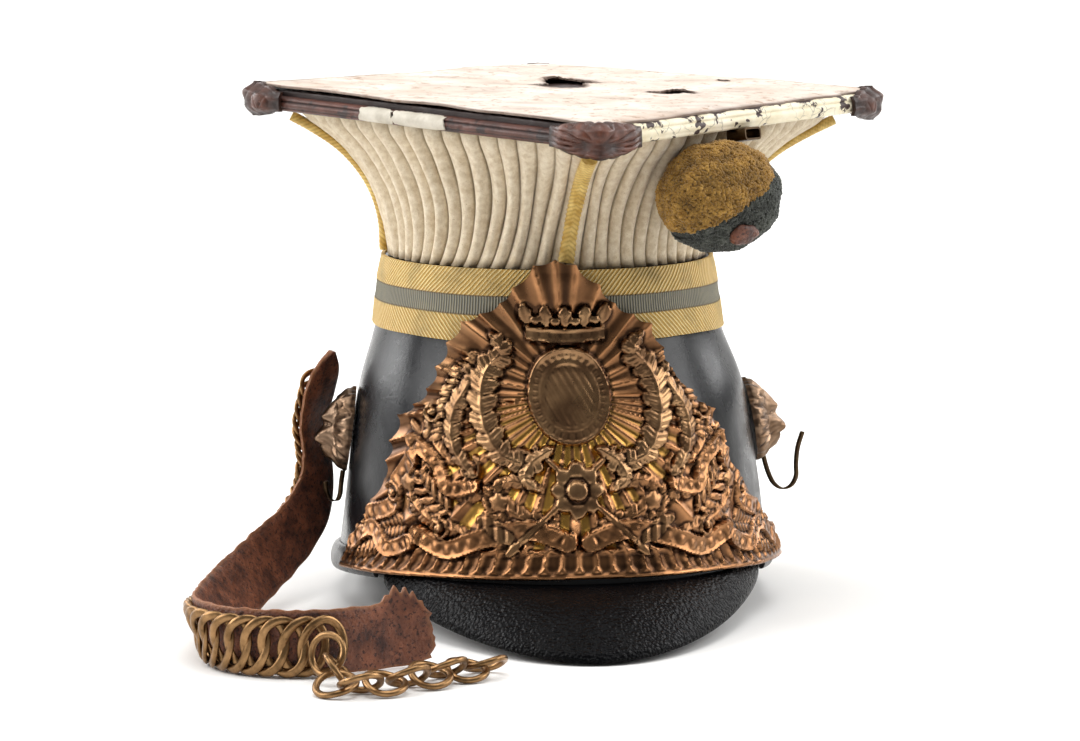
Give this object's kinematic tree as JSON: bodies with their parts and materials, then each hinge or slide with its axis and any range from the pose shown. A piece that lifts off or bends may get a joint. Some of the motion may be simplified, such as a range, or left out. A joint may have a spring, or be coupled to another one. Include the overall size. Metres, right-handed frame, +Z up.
{
  "type": "lance_cap",
  "caption": "Lance cap with a black leather skull and peak, fluted cream cloth top, square board, stamped brass plate, wool rosette and chin chain",
  "frame": {"origin": "centre of the box of the whole object, on the floor that its back rim stands on", "axes": "+Z up, -Y to the front with the peak, +X to the right of a viewer who faces the front"},
  "size_m": [0.2648, 0.309, 0.1943],
  "materials": {
    "patent_leather": "gloss black lacquered leather, scuffed",
    "grained_leather": "black leather with a pebbled grain",
    "yellow_lace": "woven worsted lace, yellow with a grey blue stripe",
    "cream_felt": "aged off-white wool cloth over padded flutes",
    "gold_gimp": "gold gimp cord with a herringbone twist",
    "worn_skin": "thin whitish skin, streaked and torn",
    "cream_paint": "cracked cream lacquer on a moulded strip",
    "brown_moulding": "dark red brown moulded composition, worn",
    "stamped_brass": "stamped brass, tarnished brown in the hollows",
    "boss_brass": "stamped brass with a dull pinkish tarnish",
    "dark_wire": "dark tarnished brass wire and sheet",
    "gold_wool": "ochre worsted loops",
    "grey_wool": "grey blue worsted loops",
    "brown_strap": "cracked red brown leather",
    "chain_brass": "worn brass wire rings"
  },
  "bodies": {
    "root": {"skull": "patent_leather", "rim_binding": "patent_leather", "peak": "grained_leather", "lace_band": "yellow_lace", "fluted_top": "cream_felt", "corner_cord_front": "gold_gimp", "corner_cord_right": "gold_gimp", "corner_cord_back": "gold_gimp", "corner_cord_left": "gold_gimp", "top_board": "brown_moulding", "top_skin": "worn_skin", "edge_moulding_front_right": "cream_paint", "edge_moulding_back_right": "cream_paint", "edge_moulding_back_left": "brown_moulding", "edge_moulding_front_left": "brown_moulding", "corner_shell_front": "brown_moulding", "corner_shell_right": "brown_moulding", "corner_shell_back": "brown_moulding", "corner_shell_left": "brown_moulding", "front_plate": "stamped_brass", "lion_boss_left": "boss_brass", "lion_boss_right": "boss_brass", "hook_left": "dark_wire", "hook_right": "dark_wire", "rosette_gold": "gold_wool", "rosette_grey": "grey_wool", "rosette_button": "brown_strap", "plume_socket": "dark_wire", "chin_strap": "brown_strap", "chain_band": "chain_brass", "chain_tail_01": "chain_brass", "chain_tail_02": "chain_brass", "chain_tail_03": "chain_brass", "chain_tail_04": "chain_brass", "chain_tail_05": "chain_brass", "chain_tail_06": "chain_brass", "chain_tail_07": "chain_brass", "chain_tail_08": "chain_brass", "chain_tail_09": "chain_brass", "chain_tail_10": "chain_brass"}
  },
  "joints": []
}
